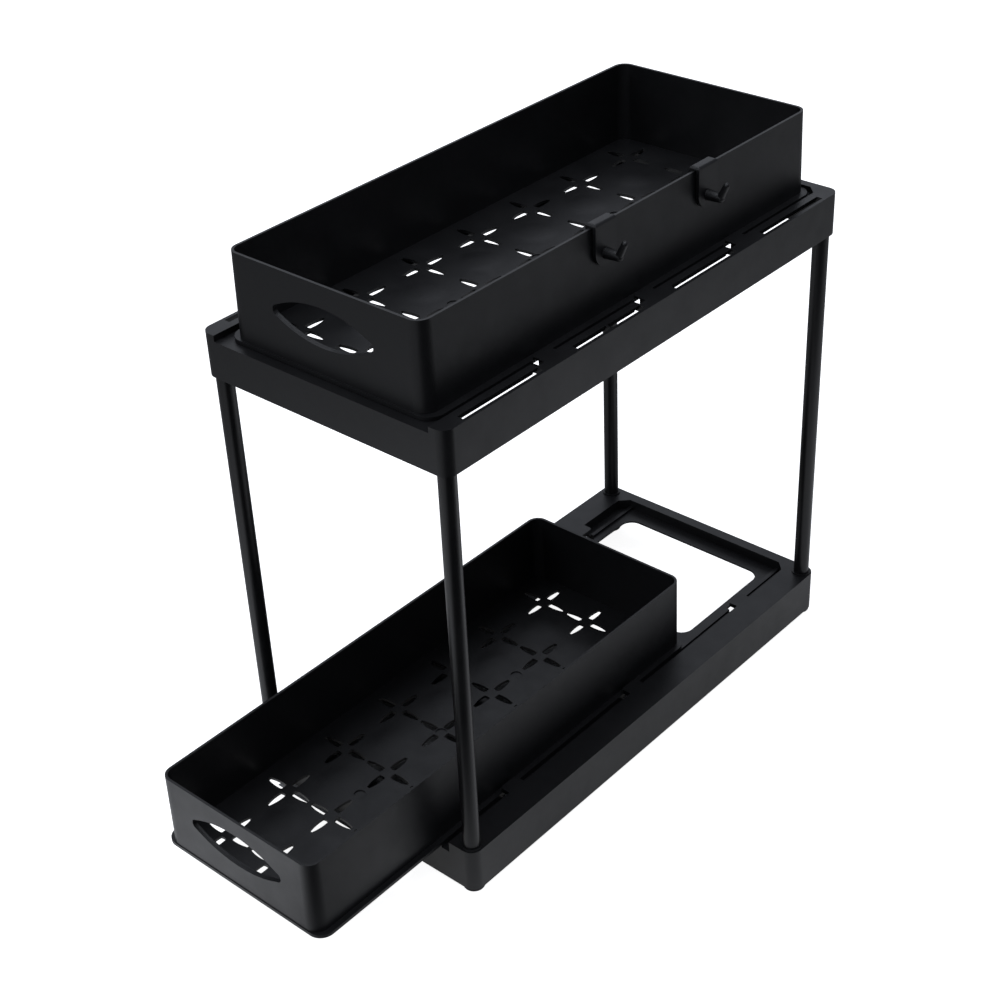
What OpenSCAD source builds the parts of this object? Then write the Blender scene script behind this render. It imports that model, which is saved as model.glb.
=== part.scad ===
// Two-tier rack with a pull-out basket on each tier. Two moulded frames are held apart by
// four round tubes; each frame has a sunk channel in which the flange of its basket slides
// under pairs of tabs. Millimetres, Z up, front towards -Y. The origin is on the surface
// the feet stand on, under the middle of the whole outline with the lower basket pulled out.

/* [Frames] */
// Width of both frames
frame_w = 202; // [190:1:230]
// Length of both frames, front to back
frame_l = 400; // [380:1:460]
// Outer radius of the frame corners
frame_corner_r = 8; // [7.5:0.5:11]
// Thickness of the skirt wall
skirt_t = 2.5; // [2:0.1:3]
// Thickness of the rim plate and the channel floor
plate_t = 2; // [1.6:0.1:2.6]
// Thickness of the channel's side walls
web_t = 1.5; // [1.2:0.1:2]
// Height of the base frame's skirt
base_h = 32.5; // [28:0.5:40]
// Height of the shelf frame's skirt
shelf_h = 30.5; // [26:0.5:38]
// Free height between the two frames
tier_gap = 286.5; // [220:0.5:340]

/* [Channels] */
// Width of the side rails beside the base frame's channel
base_rail_w = 21; // [17:0.5:26]
// Depth of the base frame's channel
base_channel_depth = 8.2; // [6:0.1:11]
// Width of the side rails beside the shelf frame's channel
shelf_rail_w = 12.5; // [11.5:0.5:18]
// Depth of the shelf frame's channel
shelf_channel_depth = 4.2; // [4:0.1:7]
// Rim left behind the base frame's channel
base_back_rim = 8.5; // [6:0.5:10]
// Rim left behind the shelf frame's channel
shelf_back_rim = 6.5; // [6:0.5:9]
// Cut-off at the back corners of a channel
channel_chamfer = 7; // [4:0.5:9]
// Height of the ribs that the lower basket's flange slides on
slide_rib_h = 1.9; // [1:0.1:2.4]
// Width of the ribs that the lower basket's flange slides on
slide_rib_w = 3; // [2:0.1:3.4]

/* [Windows] */
// Floor left between the base channel's sides and the windows
window_side = 16; // [13:0.5:24]
// Length of the middle window
mid_window_l = 130; // [90:1:160]
// Width of the bars between the windows
bar_w = 14; // [8:0.5:24]
// Floor left between an end window and the frame's end
window_end = 21; // [18:0.5:40]
// Corner radius of the windows
window_r = 10; // [4:0.5:20]
// Depth of the stiffening lip under the window edges
lip_depth = 3; // [2.8:0.1:8]
// Thickness of the stiffening lips and ribs
rib_t = 1.6; // [1.2:0.1:2.2]

/* [Tabs and slots] */
// Length of each tab along the rail
tab_l = 15; // [10:0.5:20]
// How far a tab reaches over the basket's flange
tab_overlap = 1.8; // [1.2:0.1:2.5]
// Distance between neighbouring tabs on the base frame
base_tab_pitch = 132; // [110:1:140]
// Distance between neighbouring tabs on the shelf frame
shelf_tab_pitch = 97; // [80:1:110]
// Radius of the tabs' free corners
tab_corner_r = 2.5; // [1:0.5:4]
// How far the hole under each tab shows past the tab's end
tab_hole_margin = 2.8; // [1.5:0.1:4]
// Width of the long slots in the shelf frame's rim
slot_w = 4.5; // [3:0.1:5]
// Distance from a tab's middle to the end of a slot
slot_end_gap = 16; // [12:0.5:24]
// Distance from the frame's end to the outer slots
slot_corner_gap = 18; // [17:0.5:30]

/* [Tubes and feet] */
// Outer diameter of the tubes
tube_d = 11.4; // [9:0.1:12]
// Wall of the tubes
tube_wall = 0.9; // [0.6:0.1:1.2]
// Distance from a tube's centre to the frame's outer faces
tube_inset = 8; // [7.5:0.5:10]
// Height of the ledge that a tube stands on
socket_ledge = 2.5; // [2:0.5:5]
// Plastic left over the tube's top end
tube_cover = 4; // [3:0.5:6]
// Height of the raised collar round each tube
collar_h = 1; // [0.6:0.1:1.6]
// Radial clearance of plugged-in pieces
plug_gap = 0.05; // [0.03:0.01:0.1]
// Height of the feet below the skirt
foot_h = 3.2; // [2:0.1:6]
// Diameter of the feet
foot_d = 15; // [12:0.5:16]
// Length of the plug above each foot
foot_plug_l = 16; // [8:1:24]

/* [Baskets] */
// Height of the lower basket
lower_h = 58; // [50:0.5:90]
// Height of the upper basket
upper_h = 60.5; // [50:0.5:90]
// How far each wall of the lower basket leans out towards its foot
lower_flare = 0.7; // [0.5:0.05:1.5]
// How far each wall of the upper basket leans out towards its foot
upper_flare = 1.25; // [0.5:0.05:2]
// Thickness of the basket walls
wall_t = 1.8; // [1.4:0.1:2.4]
// Outer corner radius of the baskets at the rim
basket_corner_r = 9; // [6:0.5:14]
// Thickness of the basket floors
floor_t = 2; // [1.6:0.1:2.6]
// Height of the floor's underside over the flange's underside
floor_lift = 1.5; // [1:0.1:3]
// Thickness of the sliding flange
flange_t = 2.4; // [1.8:0.1:2.8]
// Width of the lower basket's flange along the sides
lower_flange = 3.95; // [3:0.05:5]
// Width of the upper basket's flange along the sides
upper_flange = 4.75; // [3.5:0.05:6]
// Width of the lower basket's flange at the front and back
lower_flange_end = 0.5; // [0.4:0.1:1.5]
// Width of the upper basket's flange at the front and back
upper_flange_end = 1.2; // [0.4:0.1:2]
// Free width between the lower basket's flange and the side of its channel
lower_side_gap = 6.35; // [3:0.05:8]
// Free width between the upper basket's flange and the side of its channel
upper_side_gap = 4; // [2:0.1:6]
// Gap under and over the flange
slide_gap = 0.3; // [0.2:0.05:0.5]
// Gap between the closed lower basket and the end of its channel
lower_end_gap = 2; // [0.5:0.1:4]
// Gap between the closed upper basket and the end of its channel
upper_end_gap = 0.5; // [0.4:0.1:2]
// How far the lower basket is pulled out
pull_out = 120; // [60:0.5:200]

/* [Handles and flowers] */
// Width of the oval handle hole
handle_w = 82; // [60:1:100]
// Height of the oval handle hole
handle_h = 26; // [18:0.5:32]
// Height of the handle hole's middle over the flange's underside
handle_z = 33; // [24:0.5:40]
// Radius of the handle hole's narrow ends
handle_end_r = 4; // [2:0.5:6]
// Distance between neighbouring flowers along the basket
flower_pitch = 54; // [46:0.1:60]
// Distance from the inner side wall to the outer flower rows
flower_margin = 27; // [23:0.5:34]
// Length of one petal slot
petal_l = 14.5; // [9:0.1:16]
// Greatest width of one petal slot
petal_w = 5.4; // [3.5:0.1:6.5]
// Width of a petal slot's outer end
petal_end_w = 2.2; // [1:0.1:3]
// Distance from a petal's inner end to its widest place
petal_widest = 4.5; // [3:0.1:6]
// Distance from the flower's middle to its petals
petal_gap = 4.5; // [3:0.1:7]
// Diameter of the raised pillows between the flowers
pillow_d = 36; // [20:1:40]
// Height of the pillows
pillow_h = 0.8; // [0.4:0.1:1.4]
// Diameter of the round moulding marks on the middle row
mark_d = 8; // [5:0.5:9]
// Depth of the moulding marks
mark_depth = 0.3; // [0.2:0.05:0.6]

/* [Hooks] */
// Width of a hook's plate
hook_w = 20; // [12:0.5:30]
// Thickness of a hook's plate
hook_t = 2.4; // [1.5:0.1:3]
// Drop of the plate below the basket's rim
hook_drop = 26.5; // [22:0.5:40]
// Length of the leg inside the basket
hook_leg = 9; // [5:0.5:14]
// Clearance of the hook round the basket's wall
hook_gap = 0.3; // [0.2:0.05:0.5]
// Diameter of the peg where it leaves the plate
peg_d = 7.6; // [6:0.1:9]
// Diameter of the peg's outer end
peg_end_d = 6; // [5:0.1:6]
// Length of the peg
peg_l = 9.5; // [7:0.5:15]
// Height of the peg's middle over the plate's lower end
peg_z = 8; // [6:0.5:10]
// Diameter of the upturned arm at its root
arm_d = 5.2; // [4.2:0.1:6]
// Diameter of the arm's tip
arm_tip_d = 4; // [3:0.1:4]
// Rise of the arm
arm_rise = 9.5; // [6:0.5:16]
// Lean of the arm away from the plate
arm_lean = 4.5; // [2:0.5:8]
// Place of the front hook along the basket, from its middle
front_hook_y = -32; // [-120:1:-20]
// Place of the rear hook along the basket, from its middle
rear_hook_y = 72; // [20:1:150]

/* [Hidden] */
$fn = 64;
cut = 0.5;
corner_lap = 0.03;

black = [0.07, 0.07, 0.075];
coated_black = [0.05, 0.05, 0.055];
rubber_black = [0.04, 0.04, 0.04];

tube_x = frame_w / 2 - tube_inset;
tube_y = frame_l / 2 - tube_inset;
boss_r = frame_corner_r;
bore_d = tube_d + 2 * plug_gap;
tube_hole_d = tube_d - 2 * tube_wall;

base_back = frame_l / 2 - base_back_rim;
shelf_back = frame_l / 2 - shelf_back_rim;
base_channel_w = frame_w - 2 * base_rail_w;
shelf_channel_w = frame_w - 2 * shelf_rail_w;
window_w = base_channel_w - 2 * window_side;
base_tab_reach = lower_side_gap + tab_overlap;
shelf_tab_reach = upper_side_gap + tab_overlap;
flange_room = flange_t + 2 * slide_gap;
base_tab_t = base_channel_depth - slide_rib_h - flange_room;
shelf_tab_t = shelf_channel_depth - flange_room;

lower_w = base_channel_w - 2 * (lower_side_gap + lower_flange + lower_flare);
upper_w = shelf_channel_w - 2 * (upper_side_gap + upper_flange + upper_flare);
lower_l = 2 * (base_back - lower_end_gap - lower_flange_end - lower_flare);
upper_l = 2 * (shelf_back - upper_end_gap - upper_flange_end - upper_flare);
slide_rib_x = (base_channel_w - slide_rib_w) / 2 - lower_side_gap - slide_gap;
front_reach = min(-frame_l / 2, lower_end_gap - pull_out - base_back);
middle_y = (front_reach + frame_l / 2) / 2;

base_z = foot_h;
shelf_z = base_z + base_h + tier_gap;
lower_z = base_z + base_h - base_channel_depth + slide_rib_h + slide_gap;
upper_z = shelf_z + shelf_h - shelf_channel_depth + slide_gap;
tube_bottom = base_z + socket_ledge;
tube_top = shelf_z + shelf_h - tube_cover;

// Rectangle with round corners, centred
module round_rect(w, l, r) {
    square([w - 2 * r, l], center = true);
    square([w, l - 2 * r], center = true);
    for (x = [-1, 1], y = [-1, 1])
        translate([x * (w / 2 - r), y * (l / 2 - r)]) circle(r);
}

// Outline of a channel, open at the frame's front, with cut-off back corners
module channel_outline(w, back, grow, front) {
    side = w / 2 + grow;
    end = back + grow;
    polygon([[-side, front], [side, front], [side, end - channel_chamfer],
        [side - channel_chamfer, end], [channel_chamfer - side, end], [-side, end - channel_chamfer]]);
}

// The three windows in a channel floor; grow widens them for the lips below
module window_outlines(grow) {
    end_l = frame_l / 2 - window_end - mid_window_l / 2 - bar_w;
    end_y = mid_window_l / 2 + bar_w + end_l / 2;
    round_rect(window_w + 2 * grow, mid_window_l + 2 * grow, window_r + grow);
    for (s = [-1, 1])
        translate([0, s * end_y]) round_rect(window_w + 2 * grow, end_l + 2 * grow, window_r + grow);
}

module at_tubes() {
    for (x = [-1, 1], y = [-1, 1]) translate([x * tube_x, y * tube_y]) children();
}

// Skirt, rim plate, sunk channel with lipped windows, corner bosses and cross ribs
module frame_shell(h, channel_w, depth, back, tab_pitch) {
    front = -frame_l / 2;
    deck = h - depth;
    difference() {
        union() {
            linear_extrude(h) difference() {
                round_rect(frame_w, frame_l, frame_corner_r);
                round_rect(frame_w - 2 * skirt_t, frame_l - 2 * skirt_t, frame_corner_r - skirt_t);
            }
            translate([0, 0, h - plate_t]) linear_extrude(plate_t)
                round_rect(frame_w, frame_l, frame_corner_r);
            translate([0, 0, deck - plate_t]) linear_extrude(depth + plate_t)
                channel_outline(channel_w, back, web_t, front + skirt_t / 2);
            translate([0, 0, deck - lip_depth]) linear_extrude(lip_depth) window_outlines(rib_t);
            at_tubes() cylinder(r = boss_r, h = h);
            for (s = [-1, 1], y = [-1, 0, 1], e = [-1, 1])
                translate([s * (frame_w + channel_w) / 4, y * tab_pitch + e * (slot_end_gap - rib_t / 2),
                    (h + deck) / 2])
                    cube([(frame_w - channel_w) / 2 - skirt_t, rib_t, depth], center = true);
        }
        translate([0, 0, deck]) linear_extrude(depth + cut)
            channel_outline(channel_w, back, 0, front - cut);
        translate([0, 0, deck - lip_depth - cut]) linear_extrude(lip_depth + 2 * cut) window_outlines(0);
    }
}

// Tabs that hold the flange down; each reaches in from the channel's side wall
module tabs(h, channel_w, thick, reach, tab_pitch) {
    for (s = [-1, 1], y = [-1, 0, 1])
        translate([s * channel_w / 2, y * tab_pitch, h - thick]) linear_extrude(thick) intersection() {
            round_rect(2 * reach, tab_l, tab_corner_r);
            square([2 * reach, tab_l], center = true);
        }
}

// Holes in the channel floor under the tabs, a little wider than the tabs' reach
module tab_holes(h, channel_w, depth, reach, tab_pitch) {
    hole_w = reach + tab_hole_margin;
    for (s = [-1, 1], y = [-1, 0, 1])
        translate([s * (channel_w - hole_w) / 2, y * tab_pitch, h - depth - plate_t - cut])
            linear_extrude(plate_t + slide_rib_h + 2 * cut) square([hole_w, tab_l], center = true);
}

// Low ribs along the base channel that carry the lower basket's flange
module slide_ribs() {
    deck = base_h - base_channel_depth;
    for (s = [-1, 1])
        translate([s * slide_rib_x, (base_back - frame_l / 2) / 2, deck - plate_t / 2])
            linear_extrude(slide_rib_h + plate_t / 2)
                square([slide_rib_w, base_back + frame_l / 2], center = true);
}

module base_frame() {
    color(black) translate([0, -middle_y, base_z]) difference() {
        union() {
            frame_shell(base_h, base_channel_w, base_channel_depth, base_back, base_tab_pitch);
            tabs(base_h, base_channel_w, base_tab_t, base_tab_reach, base_tab_pitch);
            slide_ribs();
            at_tubes() cylinder(r = bore_d / 2 + 1.4, h = base_h + collar_h);
        }
        tab_holes(base_h, base_channel_w, base_channel_depth, base_tab_reach, base_tab_pitch);
        at_tubes() translate([0, 0, socket_ledge]) cylinder(d = bore_d, h = base_h + collar_h);
        at_tubes() translate([0, 0, -cut]) cylinder(d = tube_hole_d, h = socket_ledge + 2 * cut);
    }
}

// Long slots just inside the skirt, between the tabs and out to the corners
module rim_slots() {
    inner_l = shelf_tab_pitch - 2 * slot_end_gap;
    outer_l = frame_l / 2 - slot_corner_gap - shelf_tab_pitch - slot_end_gap;
    outer_y = shelf_tab_pitch + slot_end_gap + outer_l / 2;
    for (s = [-1, 1], e = [-1, 1]) {
        x = s * (frame_w / 2 - skirt_t - slot_w / 2);
        translate([x, e * shelf_tab_pitch / 2, shelf_h - plate_t / 2])
            cube([slot_w, inner_l, plate_t + 2 * cut], center = true);
        translate([x, e * outer_y, shelf_h - plate_t / 2])
            cube([slot_w, outer_l, plate_t + 2 * cut], center = true);
    }
}

// Short ribs that bridge the front pair of inner slots
module slot_bridges() {
    bridge_depth = shelf_channel_depth + plate_t;
    for (s = [-1, 1])
        translate([s * (frame_w / 2 - skirt_t - slot_w / 2), -shelf_tab_pitch / 2, shelf_h - bridge_depth / 2])
            cube([slot_w + cut, rib_t, bridge_depth], center = true);
}

module shelf_frame() {
    color(black) translate([0, -middle_y, shelf_z]) {
        difference() {
            union() {
                frame_shell(shelf_h, shelf_channel_w, shelf_channel_depth, shelf_back, shelf_tab_pitch);
                tabs(shelf_h, shelf_channel_w, shelf_tab_t, shelf_tab_reach, shelf_tab_pitch);
            }
            tab_holes(shelf_h, shelf_channel_w, shelf_channel_depth, shelf_tab_reach, shelf_tab_pitch);
            at_tubes() translate([0, 0, -cut]) cylinder(d = bore_d, h = shelf_h - tube_cover + cut);
            rim_slots();
        }
        slot_bridges();
    }
}

// Hollow tube standing on the base frame's ledge and plugged into the shelf frame
module tube(sx, sy) {
    color(coated_black) translate([sx * tube_x, sy * tube_y - middle_y, tube_bottom])
        difference() {
            cylinder(d = tube_d, h = tube_top - tube_bottom);
            translate([0, 0, -cut]) cylinder(d = tube_hole_d, h = tube_top - tube_bottom + 2 * cut);
        }
}

// Foot with a round lower edge and a plug that goes up into the tube
module foot(sx, sy) {
    edge_r = foot_h * 0.6;
    color(rubber_black) translate([sx * tube_x, sy * tube_y - middle_y, 0])
        rotate_extrude() {
            square([foot_d / 2 - edge_r, foot_h]);
            translate([0, edge_r]) square([foot_d / 2, foot_h - edge_r]);
            intersection() {
                translate([foot_d / 2 - edge_r, edge_r]) circle(edge_r);
                square([foot_d / 2, foot_h]);
            }
            square([tube_hole_d / 2 - plug_gap, foot_h + foot_plug_l]);
        }
}

// One petal, lying along X from the flower's middle: two long arcs between two short ones
module petal() {
    end_run = petal_l - petal_widest;
    taper = (petal_w - petal_end_w) / 2;
    side_r = (end_run * end_run + taper * taper) / (2 * taper);
    intersection() {
        translate([petal_gap + petal_l / 2, 0]) circle(petal_l / 2);
        translate([petal_gap + petal_widest, petal_w / 2 - side_r]) circle(side_r);
        translate([petal_gap + petal_widest, side_r - petal_w / 2]) circle(side_r);
    }
}

// Oval of the handle hole: two large arcs that run just inside the round ends
module handle_oval() {
    tip_x = handle_w / 2 - handle_end_r;
    half_h = handle_h / 2;
    inner_r = handle_end_r - 0.2;
    big_r = (tip_x * tip_x + half_h * half_h - inner_r * inner_r) / (2 * (half_h - inner_r));
    join_x = tip_x * big_r / (big_r - inner_r);
    intersection() {
        translate([0, big_r - half_h]) circle(big_r, $fn = 160);
        translate([0, half_h - big_r]) circle(big_r, $fn = 160);
        square([2 * join_x, handle_h + 2], center = true);
    }
    for (s = [-1, 1]) translate([s * tip_x, 0]) circle(handle_end_r);
}

// Pillow: the cap of a large ball, lying on the basket's floor
module pillow() {
    ball_r = (pillow_d * pillow_d / 4 + pillow_h * pillow_h) / (2 * pillow_h);
    rotate_extrude() intersection() {
        translate([0, pillow_h - ball_r]) circle(ball_r, $fn = 160);
        translate([0, -floor_t / 2]) square([pillow_d / 2, pillow_h + floor_t / 2]);
    }
}

// Block with round corners whose walls lean out towards its foot; w, l and r are those of the
// top. The round corners stand out past the flat walls by a hair, so that the two cross.
module leaning_block(w, l, r, h, lean) {
    rotate([90, 0, 0]) linear_extrude(l - 2 * r, center = true)
        polygon([[-w / 2 - lean, 0], [w / 2 + lean, 0], [w / 2, h], [-w / 2, h]]);
    rotate([90, 0, 90]) linear_extrude(w - 2 * r, center = true)
        polygon([[-l / 2 - lean, 0], [l / 2 + lean, 0], [l / 2, h], [-l / 2, h]]);
    for (x = [-1, 1], y = [-1, 1])
        translate([x * (w / 2 - r), y * (l / 2 - r), 0])
            cylinder(r1 = r + lean + corner_lap, r2 = r + corner_lap, h = h);
}

// Open box with leaning walls, a sliding flange, a handle hole and rows of four-petal flowers
module basket(w, l, h, flare, flange_w, flange_end) {
    floor_z = floor_lift + floor_t;
    foot_w = w + 2 * flare;
    foot_l = l + 2 * flare;
    foot_r = basket_corner_r + flare;
    row_x = foot_w / 2 - wall_t - flower_margin;
    steps = floor((foot_l / 2 - wall_t - petal_gap - petal_l - 2) / flower_pitch);
    top_lean = flare * cut / h;
    inner_h = h + cut - floor_z;
    difference() {
        union() {
            difference() {
                union() {
                    leaning_block(w, l, basket_corner_r, h, flare);
                    linear_extrude(flange_t)
                        round_rect(foot_w + 2 * flange_w, foot_l + 2 * flange_end, foot_r + flange_end);
                }
                translate([0, 0, floor_z])
                    leaning_block(w - 2 * (wall_t + top_lean), l - 2 * (wall_t + top_lean),
                        basket_corner_r - wall_t - top_lean, inner_h, flare * inner_h / h);
                translate([0, 0, -cut]) linear_extrude(floor_lift + cut)
                    round_rect(foot_w - 2 * wall_t, foot_l - 2 * wall_t, foot_r - wall_t);
            }
            for (sx = [-1, 1], j = [-steps : steps - 1])
                translate([sx * row_x / 2, (j + 0.5) * flower_pitch, floor_z]) pillow();
        }
        for (i = [-1, 0, 1], j = [-steps : steps], a = [0, 90, 180, 270])
            translate([i * row_x, j * flower_pitch, floor_lift - cut]) rotate(a)
                linear_extrude(floor_t + pillow_h + 2 * cut) petal();
        for (j = [-1.5, 0, 1.5])
            translate([0, j * flower_pitch, floor_z - mark_depth]) cylinder(d = mark_d, h = mark_depth + cut);
        translate([0, wall_t + cut - l / 2, handle_z]) rotate([90, 0, 0])
            linear_extrude(wall_t + flare + 2 * cut) handle_oval();
    }
}

module lower_basket() {
    color(black) translate([0, -pull_out - middle_y, lower_z])
        basket(lower_w, lower_l, lower_h, lower_flare, lower_flange, lower_flange_end);
}

module upper_basket() {
    color(black) translate([0, -middle_y, upper_z])
        basket(upper_w, upper_l, upper_h, upper_flare, upper_flange, upper_flange_end);
}

// Clip over the basket's right wall, plate with a round lower end, peg and upturned arm
module hook(y) {
    inner_x = upper_w / 2 - wall_t - hook_gap;
    outer_x = upper_w / 2 + upper_flare * hook_drop / upper_h + hook_gap;
    top_z = upper_h + hook_gap;
    end_z = upper_h - hook_drop;
    elbow_x = outer_x + hook_t + peg_l;
    elbow_z = end_z + peg_z;
    arm_len = sqrt(arm_rise * arm_rise + arm_lean * arm_lean);
    color(black) translate([0, y - middle_y, upper_z]) {
        translate([inner_x - hook_t, -hook_w / 2, top_z])
            cube([outer_x - inner_x + 2 * hook_t, hook_w, hook_t]);
        translate([inner_x - hook_t, -hook_w / 2, top_z - hook_leg]) cube([hook_t, hook_w, hook_leg + cut]);
        translate([outer_x, 0, 0]) rotate([90, 0, 90]) linear_extrude(hook_t) {
            translate([-hook_w / 2, end_z + hook_w / 2]) square([hook_w, top_z + cut - end_z - hook_w / 2]);
            translate([0, end_z + hook_w / 2]) circle(hook_w / 2);
        }
        translate([outer_x + hook_t - cut, 0, elbow_z]) rotate([0, 90, 0])
            cylinder(d1 = peg_d, d2 = peg_end_d, h = peg_l + cut);
        translate([elbow_x, 0, elbow_z]) {
            sphere(d = peg_end_d);
            rotate([0, atan2(arm_lean, arm_rise), 0]) {
                cylinder(d1 = arm_d, d2 = arm_tip_d, h = arm_len);
                translate([0, 0, arm_len]) sphere(d = arm_tip_d);
            }
        }
    }
}

module hook_front() { hook(front_hook_y); }
module hook_rear() { hook(rear_hook_y); }

base_frame();
shelf_frame();
tube(-1, -1);  // tube_front_left
tube(1, -1);  // tube_front_right
tube(-1, 1);  // tube_back_left
tube(1, 1);  // tube_back_right
foot(-1, -1);  // foot_front_left
foot(1, -1);  // foot_front_right
foot(-1, 1);  // foot_back_left
foot(1, 1);  // foot_back_right
lower_basket();
upper_basket();
hook_front();
hook_rear();
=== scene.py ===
import math

import bpy
from mathutils import Matrix, Vector


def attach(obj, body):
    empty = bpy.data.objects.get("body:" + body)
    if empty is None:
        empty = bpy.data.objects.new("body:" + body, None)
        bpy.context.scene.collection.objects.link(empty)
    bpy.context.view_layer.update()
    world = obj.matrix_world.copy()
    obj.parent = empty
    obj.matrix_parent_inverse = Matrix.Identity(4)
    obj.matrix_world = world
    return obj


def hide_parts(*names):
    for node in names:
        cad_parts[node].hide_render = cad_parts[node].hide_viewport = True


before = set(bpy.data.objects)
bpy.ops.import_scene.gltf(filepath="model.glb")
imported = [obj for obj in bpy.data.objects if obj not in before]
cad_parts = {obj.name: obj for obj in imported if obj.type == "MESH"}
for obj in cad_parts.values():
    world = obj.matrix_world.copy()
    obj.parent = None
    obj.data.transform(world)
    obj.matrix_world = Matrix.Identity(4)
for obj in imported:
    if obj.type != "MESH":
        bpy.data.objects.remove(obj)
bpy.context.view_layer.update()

scene = bpy.context.scene

FLOOR_WHITE = 0.92       # glow of the floor to the camera, over the light that falls on it
FLOOR_PAINTED_SHADE = 0.3       # painted shade: tone of the floor in the dark under the base frame
FLOOR_MIRRORED = 0.45    # painted light: glow of the floor in reflections only, at its brightest place
# Painted reflection: the two bright places of the floor's glow in reflections, and how it fades away from each
FLOOR_BRIGHT_AT = (-0.03, -0.3, 0.0)
FLOOR_FADE = ((0.05, 1.0), (0.9, 0.15), (0.22, 0.55), (0.34, 0.34), (0.5, 0.24))
RIGHT_BRIGHT_AT = (0.13, 0.1, 0.0)
RIGHT_FADE = ((0.05, 0.52), (0.9, 0.3), (0.16, 0.54), (0.28, 0.72), (0.37, 0.58), (0.55, 0.42))
RIGHT_START = 0.07
RIGHT_END = 0.1
CAMERA_SIDE_PAINTED_SHADE = 0.05  # painted shade in reflections: tone of the floor in front of the frames' near corner
NEAR_START = 0.17
NEAR_END = 0.29
ASIDE_START = -0.27
ASIDE_END = -0.13
REFLECTED_PAINTED_SHADE = 0.3     # painted shade: tone in reflections of the closed-in floor listed below
# Painted shade, in the rectangles of the floor that the base frame and the lower basket close in:
# under the frame, under the basket in front of it, under the left rail and behind the basket
PAINTED_SHADE_FLOOR = ((-0.095, 0.058, -0.1415, 0.105), (-0.08, 0.035, -0.151, -0.14),
              (-0.102, -0.0895, 0.1, 0.235), (-0.098, -0.0775, 0.1, 0.145))
WORLD_DIM = 0.24
LIP_RISE = 0.0015
MARK_SINK = 0.0004
BACK_GAP_WIDTH = 0.1728
BACK_GAP_HEIGHT = 0.0115
HANDLE_RIM_STEP = 0.00178


# ---------------------------------------------------------------- camera
def set_camera():
    """The photograph's viewpoint, solved from the straight edges of the frames and baskets."""
    azimuth, elevation, roll = (math.radians(a) for a in (42.4514, 33.2065, -2.7973))
    back = Vector((math.sin(azimuth) * math.cos(elevation), -math.cos(azimuth) * math.cos(elevation),
                   math.sin(elevation)))
    right = Vector((math.cos(azimuth), math.sin(azimuth), 0))
    up = back.cross(right)
    side = right * math.cos(roll) + up * math.sin(roll)
    top = up * math.cos(roll) - right * math.sin(roll)
    turn = Matrix((side, top, back)).transposed().to_4x4()
    data = bpy.data.cameras.new("studio_camera")
    data.sensor_width = 36
    data.lens = 66.365
    data.clip_end = 50
    camera = bpy.data.objects.new("studio_camera", data)
    scene.collection.objects.link(camera)
    place = Vector((0.70511, -0.81810 + 0.05475, 0.86996 + 0.0032))
    camera.matrix_world = Matrix.Translation(place) @ turn
    scene.camera = camera


# ---------------------------------------------------------------- finishes
def material_nodes(name):
    material = bpy.data.materials.new(name)
    material.use_nodes = True
    tree = material.node_tree
    shader = tree.nodes["Principled BSDF"]
    place = tree.nodes.new("ShaderNodeTexCoord")
    return material, tree, shader, place


def noise(tree, place, scale, detail=3.0, roughness=0.5):
    node = tree.nodes.new("ShaderNodeTexNoise")
    node.inputs["Scale"].default_value = scale
    node.inputs["Detail"].default_value = detail
    node.inputs["Roughness"].default_value = roughness
    tree.links.new(place.outputs["Object"], node.inputs["Vector"])
    return node


def spread(tree, value, low, high, start=0.3, end=0.7):
    node = tree.nodes.new("ShaderNodeMapRange")
    node.inputs["From Min"].default_value = start
    node.inputs["From Max"].default_value = end
    node.inputs["To Min"].default_value = low
    node.inputs["To Max"].default_value = high
    tree.links.new(value, node.inputs["Value"])
    return node.outputs["Result"]


def two_tone(tree, value, dark, light):
    ramp = tree.nodes.new("ShaderNodeValToRGB")
    ramp.color_ramp.elements[0].position = 0.32
    ramp.color_ramp.elements[0].color = (*dark, 1)
    ramp.color_ramp.elements[1].position = 0.7
    ramp.color_ramp.elements[1].color = (*light, 1)
    tree.links.new(value, ramp.inputs["Fac"])
    return ramp.outputs["Color"]


def grain(tree, place, coarse, fine, strength, depth):
    """Two sizes of surface grain added as a bump."""
    big = noise(tree, place, coarse, 2.0)
    small = noise(tree, place, fine, 2.0)
    total = tree.nodes.new("ShaderNodeMath")
    total.operation = "ADD"
    tree.links.new(big.outputs["Fac"], total.inputs[0])
    tree.links.new(small.outputs["Fac"], total.inputs[1])
    bump = tree.nodes.new("ShaderNodeBump")
    bump.inputs["Strength"].default_value = strength
    bump.inputs["Distance"].default_value = depth
    tree.links.new(total.outputs[0], bump.inputs["Height"])
    return bump.outputs["Normal"]


def moulded_plastic(name, dark, light, rough_low, rough_high):
    material, tree, shader, place = material_nodes(name)
    shader.inputs["IOR"].default_value = 1.5
    flow = noise(tree, place, 14.0, 4.0)
    handling = noise(tree, place, 55.0, 5.0, 0.62)
    tree.links.new(two_tone(tree, flow.outputs["Fac"], dark, light), shader.inputs["Base Color"])
    tree.links.new(spread(tree, handling.outputs["Fac"], rough_low, rough_high), shader.inputs["Roughness"])
    tree.links.new(grain(tree, place, 900.0, 2600.0, 0.18, 0.00012), shader.inputs["Normal"])
    return material


def coated_tube(name):
    material, tree, shader, place = material_nodes(name)
    shader.inputs["IOR"].default_value = 1.45
    shader.inputs["Coat Weight"].default_value = 0.1
    shader.inputs["Coat Roughness"].default_value = 0.3
    flow = noise(tree, place, 22.0, 3.0)
    tree.links.new(two_tone(tree, flow.outputs["Fac"], (0.003, 0.003, 0.0034), (0.0045, 0.0045, 0.005)),
                   shader.inputs["Base Color"])
    tree.links.new(spread(tree, flow.outputs["Fac"], 0.29, 0.36), shader.inputs["Roughness"])
    tree.links.new(grain(tree, place, 420.0, 1500.0, 0.2, 0.00015), shader.inputs["Normal"])
    return material


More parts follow.
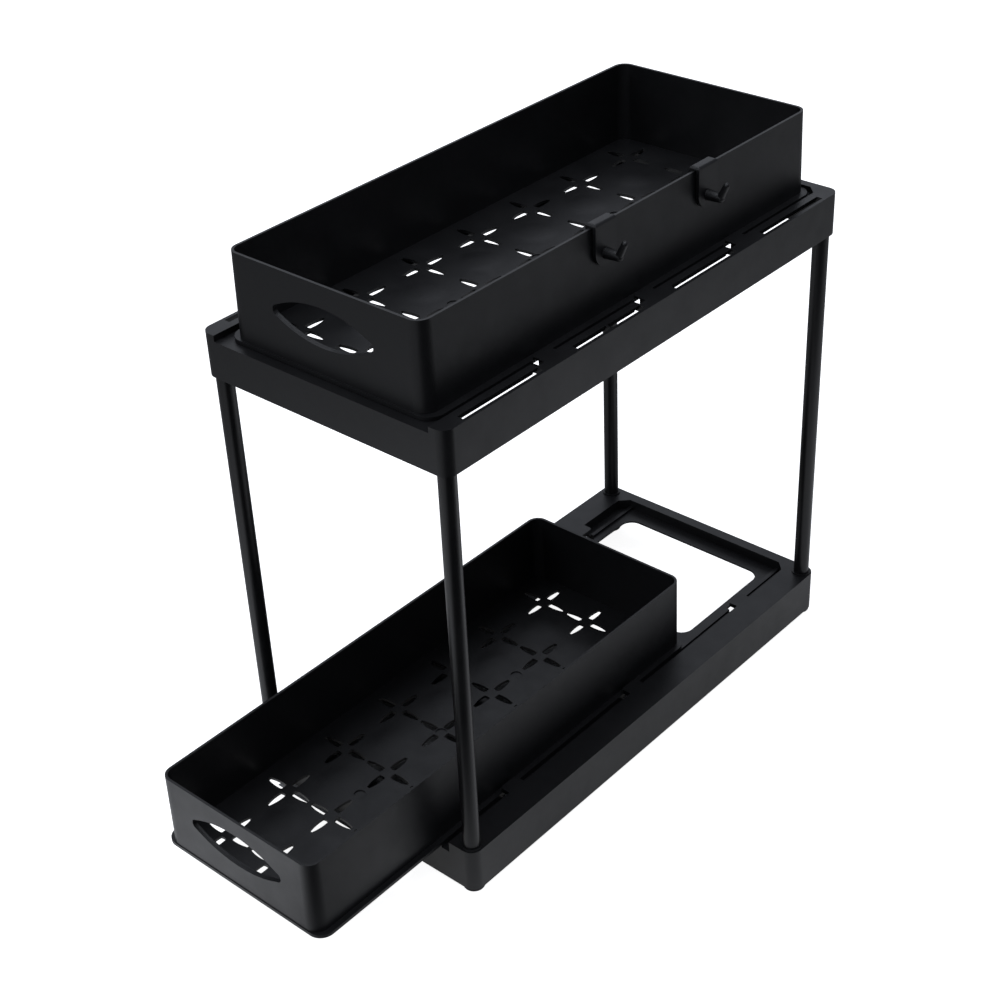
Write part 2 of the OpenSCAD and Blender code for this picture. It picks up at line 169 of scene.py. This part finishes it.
def foot_rubber(name):
    material, tree, shader, place = material_nodes(name)
    shader.inputs["IOR"].default_value = 1.45
    flow = noise(tree, place, 60.0, 3.0)
    tree.links.new(two_tone(tree, flow.outputs["Fac"], (0.009, 0.009, 0.009), (0.016, 0.016, 0.016)),
                   shader.inputs["Base Color"])
    tree.links.new(spread(tree, flow.outputs["Fac"], 0.6, 0.75), shader.inputs["Roughness"])
    tree.links.new(grain(tree, place, 700.0, 2400.0, 0.3, 0.0002), shader.inputs["Normal"])
    return material


# ---------------------------------------------------------------- pieces
def merged_copy(node_name, piece_name):
    """A copy of a solid's mesh with its loose triangles merged into whole faces."""
    bpy.ops.object.select_all(action="DESELECT")
    piece = bpy.data.objects.new(piece_name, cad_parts[node_name].data.copy())
    scene.collection.objects.link(piece)
    bpy.context.view_layer.objects.active = piece
    piece.select_set(True)
    bpy.ops.object.mode_set(mode="EDIT")
    bpy.ops.mesh.select_all(action="SELECT")
    bpy.ops.mesh.remove_doubles(threshold=0.000002)
    bpy.ops.mesh.dissolve_limited(angle_limit=math.radians(0.4))
    bpy.ops.mesh.select_all(action="DESELECT")
    bpy.ops.object.mode_set(mode="OBJECT")
    return piece


def shift_level(piece, level, rise):
    """Moves all that lies at one level of a piece up or down."""
    for vertex in piece.data.vertices:
        vertex.select = abs(vertex.co.z - level) < 0.00001
    bpy.ops.object.mode_set(mode="EDIT")
    bpy.ops.transform.translate(value=(0, 0, rise))
    bpy.ops.mesh.select_all(action="DESELECT")
    bpy.ops.object.mode_set(mode="OBJECT")


def cut_boxes(piece, boxes):
    """Cuts boxes, each a middle and a size, out of a piece."""
    for middle, size in boxes:
        bpy.ops.object.select_all(action="DESELECT")
        bpy.ops.mesh.primitive_cube_add(size=1, location=middle)
        box = bpy.context.object
        box.scale = size
        bpy.ops.object.transform_apply(location=True, rotation=True, scale=True)
        bpy.ops.object.select_all(action="DESELECT")
        bpy.context.view_layer.objects.active = piece
        piece.select_set(True)
        cut = piece.modifiers.new("box_cut", "BOOLEAN")
        cut.operation = "DIFFERENCE"
        cut.object = box
        bpy.ops.object.modifier_apply(modifier=cut.name)
        bpy.data.objects.remove(box)


def shape_base_frame(piece):
    """Thin window lips, and the low gap in the back skirt that lets the floor show behind the window."""
    shift_level(piece, 0.0245, LIP_RISE)
    cut_boxes(piece, [((0, 0.25625, 0.0022), (BACK_GAP_WIDTH, 0.01, 2 * BACK_GAP_HEIGHT))])


def shape_shelf_frame(piece):
    """Thin window lips, and a small notch in the rim beside each tab."""
    shift_level(piece, 0.3455, LIP_RISE)
    cut_boxes(piece, [((side * 0.0907, 0.05475 + row * 0.097 - 0.0115, 0.35), (0.0048, 0.007, 0.008))
                      for side in (-1, 1) for row in (-1, 0, 1)])


def shape_lower_basket(piece):
    """Deeper round marks between the flowers."""
    shift_level(piece, 0.0329, -MARK_SINK)


def shape_upper_basket(piece):
    shift_level(piece, 0.352, -MARK_SINK)


def round_bends(piece):
    """Rounds the two bends of a hook's strip where it goes over the basket's rim."""
    mesh = piece.data
    top = max(vertex.co.z for vertex in mesh.vertices)
    for edge in mesh.edges:
        first, second = (mesh.vertices[index].co for index in edge.vertices)
        level = abs(first.z - top) < 0.00001 and abs(second.z - top) < 0.00001
        edge.select = level and abs(first.y - second.y) > 0.015
    bpy.ops.object.mode_set(mode="EDIT")
    bpy.ops.mesh.bevel(offset=0.0019, segments=4)
    bpy.ops.mesh.select_all(action="DESELECT")
    bpy.ops.object.mode_set(mode="OBJECT")


def finished(piece, edge, finish):
    """Small round edges, smooth shading between them, and the piece's finish."""
    bevel = piece.modifiers.new("round_edges", "BEVEL")
    bevel.width = edge
    bevel.segments = 2
    bevel.limit_method = "ANGLE"
    bevel.angle_limit = math.radians(38)
    bpy.ops.object.modifier_apply(modifier=bevel.name)
    bpy.ops.object.shade_smooth_by_angle(angle=math.radians(32))
    even = piece.modifiers.new("even_faces", "WEIGHTED_NORMAL")
    even.weight = 100
    even.keep_sharp = True
    bpy.ops.object.modifier_apply(modifier=even.name)
    piece.data.materials.clear()
    piece.data.materials.append(finish)


def softened(node_name, piece_name, body, edge, finish, shaping=None):
    """A copy of a solid with the small round edges that moulded and cut pieces have."""
    piece = merged_copy(node_name, piece_name)
    if shaping:
        shaping(piece)
    finished(piece, edge, finish)
    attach(piece, body)
    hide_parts(node_name)


def handle_rim(node_name, piece_name, body, finish):
    """The raised rim inside a basket's front wall, grown from the wall of the handle hole."""
    piece = merged_copy(node_name, piece_name)
    mesh = piece.data
    front = min(vertex.co.y for vertex in mesh.vertices)
    low = min(vertex.co.z for vertex in mesh.vertices)
    for face in mesh.polygons:
        in_front = face.center.y < front + 0.006 and abs(face.center.x) < 0.042
        in_hole = in_front and 0.019 < face.center.z - low < 0.047 and abs(face.normal.y) < 0.1
        face.select = not in_hole
    scene.tool_settings.mesh_select_mode = (False, False, True)
    bpy.ops.object.mode_set(mode="EDIT")
    bpy.ops.mesh.delete(type="FACE")
    bpy.ops.mesh.select_mode(type="VERT")
    bpy.ops.mesh.select_all(action="SELECT")
    bpy.ops.transform.translate(value=(0, HANDLE_RIM_STEP, 0))
    bpy.ops.mesh.select_all(action="DESELECT")
    bpy.ops.object.mode_set(mode="OBJECT")
    wall = piece.modifiers.new("rim_wall", "SOLIDIFY")
    wall.thickness = 0.0014
    wall.offset = -1
    wall.use_even_offset = True
    bpy.ops.object.modifier_apply(modifier=wall.name)
    finished(piece, 0.0003, finish)
    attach(piece, body)


# ---------------------------------------------------------------- studio
def combine(tree, operation, first, second):
    node = tree.nodes.new("ShaderNodeMath")
    node.operation = operation
    tree.links.new(first, node.inputs[0])
    if isinstance(second, float):
        node.inputs[1].default_value = second
    else:
        tree.links.new(second, node.inputs[1])
    return node.outputs[0]


def outside(tree, parts, rectangle):
    """One outside a rectangle of the floor, nothing inside it."""
    left, right, front, back = rectangle
    beside = combine(tree, "MAXIMUM", combine(tree, "LESS_THAN", parts.outputs["X"], left),
                     combine(tree, "GREATER_THAN", parts.outputs["X"], right))
    beyond = combine(tree, "MAXIMUM", combine(tree, "LESS_THAN", parts.outputs["Y"], front),
                     combine(tree, "GREATER_THAN", parts.outputs["Y"], back))
    return combine(tree, "MAXIMUM", beside, beyond)


def fading(tree, place, middle, tones):
    """A tone that changes with the distance from a place on the floor."""
    away = tree.nodes.new("ShaderNodeVectorMath")
    away.operation = "DISTANCE"
    away.inputs[1].default_value = middle
    tree.links.new(place.outputs["Object"], away.inputs[0])
    fade = tree.nodes.new("ShaderNodeValToRGB")
    stops = fade.color_ramp.elements
    for index, (position, tone) in enumerate(tones):
        stop = stops[index] if index < 2 else stops.new(position)
        stop.position = position
        stop.color = (tone, tone, tone, 1)
    tree.links.new(away.outputs["Value"], fade.inputs["Fac"])
    return fade.outputs["Color"]


def painted_reflection_tone(tree, place, parts):
    """Painted reflection: how brightly the floor glows in reflections, with two painted bright places and a
    painted dark one towards the camera.
    """
    right = combine(tree, "MULTIPLY", fading(tree, place, RIGHT_BRIGHT_AT, RIGHT_FADE),
                    spread(tree, parts.outputs["X"], 0.0, 1.0, RIGHT_START, RIGHT_END))
    brightest = combine(tree, "MAXIMUM", fading(tree, place, FLOOR_BRIGHT_AT, FLOOR_FADE), right)
    towards = combine(tree, "SUBTRACT", combine(tree, "MULTIPLY", parts.outputs["X"], 0.675),
                      combine(tree, "MULTIPLY", parts.outputs["Y"], 0.738))
    aside = combine(tree, "ADD", combine(tree, "MULTIPLY", parts.outputs["X"], 0.738),
                    combine(tree, "MULTIPLY", parts.outputs["Y"], 0.675))
    near = combine(tree, "MULTIPLY", spread(tree, towards, 0.0, 1.0, NEAR_START, NEAR_END),
                   spread(tree, aside, 0.0, 1.0, ASIDE_START, ASIDE_END))
    return combine(tree, "MULTIPLY", brightest, spread(tree, near, 1.0, CAMERA_SIDE_PAINTED_SHADE, 0.0, 1.0))


def floor_material():
    """White to the camera but for the object's shadow, with painted shade in closed-in rectangles; in
    reflections it shows a painted glow.
    """
    material, tree, shader, place = material_nodes("studio_floor")
    tree.nodes.remove(shader)
    rays = tree.nodes.new("ShaderNodeLightPath")
    parts = tree.nodes.new("ShaderNodeSeparateXYZ")
    tree.links.new(place.outputs["Object"], parts.inputs[0])
    tone = painted_reflection_tone(tree, place, parts)
    # Painted shade: inside these rectangles the floor loses its glow to the camera and is darker, both in
    # colour and in reflections
    outside_painted_shade = outside(tree, parts, PAINTED_SHADE_FLOOR[0])
    for rectangle in PAINTED_SHADE_FLOOR[1:]:
        outside_painted_shade = combine(tree, "MINIMUM", outside_painted_shade, outside(tree, parts, rectangle))
    keep = tree.nodes.new("ShaderNodeMapRange")
    tree.links.new(rays.outputs["Is Glossy Ray"], keep.inputs["Value"])
    tree.links.new(spread(tree, outside_painted_shade, FLOOR_PAINTED_SHADE, 0.9, 0.0, 1.0), keep.inputs["To Min"])
    tone = combine(tree, "MULTIPLY", tone, spread(tree, outside_painted_shade, REFLECTED_PAINTED_SHADE, 1.0, 0.0, 1.0))
    tree.links.new(tone, keep.inputs["To Max"])
    matte = tree.nodes.new("ShaderNodeBsdfDiffuse")
    tree.links.new(keep.outputs["Result"], matte.inputs["Color"])
    seen = combine(tree, "MULTIPLY", rays.outputs["Is Camera Ray"],
                   combine(tree, "MULTIPLY", outside_painted_shade, FLOOR_WHITE))
    # Painted light: the floor glows in reflections, though it is no lamp
    mirrored = combine(tree, "MULTIPLY", rays.outputs["Is Glossy Ray"],
                       combine(tree, "MULTIPLY", tone, FLOOR_MIRRORED))
    glow = tree.nodes.new("ShaderNodeEmission")
    tree.links.new(combine(tree, "ADD", seen, mirrored), glow.inputs["Strength"])
    both = tree.nodes.new("ShaderNodeAddShader")
    tree.links.new(matte.outputs["BSDF"], both.inputs[0])
    tree.links.new(glow.outputs["Emission"], both.inputs[1])
    tree.links.new(both.outputs["Shader"], tree.nodes["Material Output"].inputs["Surface"])
    return material


def build_studio():
    bpy.ops.object.select_all(action="DESELECT")
    bpy.ops.mesh.primitive_plane_add(size=16, location=(0, 0, 0))
    floor = bpy.context.object
    floor.name = "studio_floor"
    floor.data.materials.append(floor_material())

    world = bpy.data.worlds.new("studio_world")
    world.use_nodes = True
    scene.world = world
    tree = world.node_tree
    background = tree.nodes["Background"]
    background.inputs["Color"].default_value = (0.84, 0.88, 1.0, 1)
    background.inputs["Strength"].default_value = WORLD_DIM
    white = tree.nodes.new("ShaderNodeBackground")
    white.inputs["Color"].default_value = (1, 1, 1, 1)
    rays = tree.nodes.new("ShaderNodeLightPath")
    mix = tree.nodes.new("ShaderNodeMixShader")
    tree.links.new(rays.outputs["Is Camera Ray"], mix.inputs["Fac"])
    tree.links.new(background.outputs["Background"], mix.inputs[1])
    tree.links.new(white.outputs["Background"], mix.inputs[2])
    tree.links.new(mix.outputs["Shader"], tree.nodes["World Output"].inputs["Surface"])


def softbox(name, place, target, width, height, power):
    data = bpy.data.lights.new(name, "AREA")
    data.shape = "RECTANGLE"
    data.size = width
    data.size_y = height
    data.energy = power
    data.color = (0.88, 0.92, 1.0)
    lamp = bpy.data.objects.new(name, data)
    scene.collection.objects.link(lamp)
    aim = Vector(target) - Vector(place)
    lamp.matrix_world = Matrix.Translation(place) @ aim.to_track_quat("-Z", "Y").to_matrix().to_4x4()
    return lamp


set_camera()
build_studio()
softbox("overhead_softbox", (0.1, -0.1, 2.4), (0, 0, 0.2), 2.2, 2.2, 30)
softbox("back_left_softbox", (-1.75, 1.95, 1.75), (0, 0, 0.2), 2.0, 2.0, 7)
softbox("front_softbox", (-0.7, -2.2, 1.4), (0, 0, 0.2), 1.6, 1.2, 10)

plastic = moulded_plastic("satin_black_plastic", (0.003, 0.0031, 0.0036), (0.0045, 0.0046, 0.0053), 0.38, 0.46)
tube_finish = coated_tube("coated_black_tube")
rubber = foot_rubber("black_foot_rubber")

softened("base_frame", "base_frame_moulding", "frame", 0.0007, plastic,
         shape_base_frame)
softened("shelf_frame", "shelf_frame_moulding", "frame", 0.0007, plastic,
         shape_shelf_frame)
softened("lower_basket", "lower_basket_moulding", "lower_basket", 0.0003, plastic,
         shape_lower_basket)
softened("upper_basket", "upper_basket_moulding", "upper_basket", 0.0003, plastic,
         shape_upper_basket)
for place in ("front", "rear"):
    softened("hook_" + place, "hook_%s_clip" % place, "hook_" + place, 0.0004, plastic,
             round_bends)
for tier in ("lower", "upper"):
    handle_rim(tier + "_basket", tier + "_handle_rim", tier + "_basket", plastic)
for corner in ("front_left", "front_right", "back_left", "back_right"):
    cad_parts["tube_" + corner].data.materials.clear()
    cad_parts["tube_" + corner].data.materials.append(tube_finish)
    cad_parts["foot_" + corner].data.materials.clear()
    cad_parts["foot_" + corner].data.materials.append(rubber)

scene.view_settings.view_transform = "Standard"
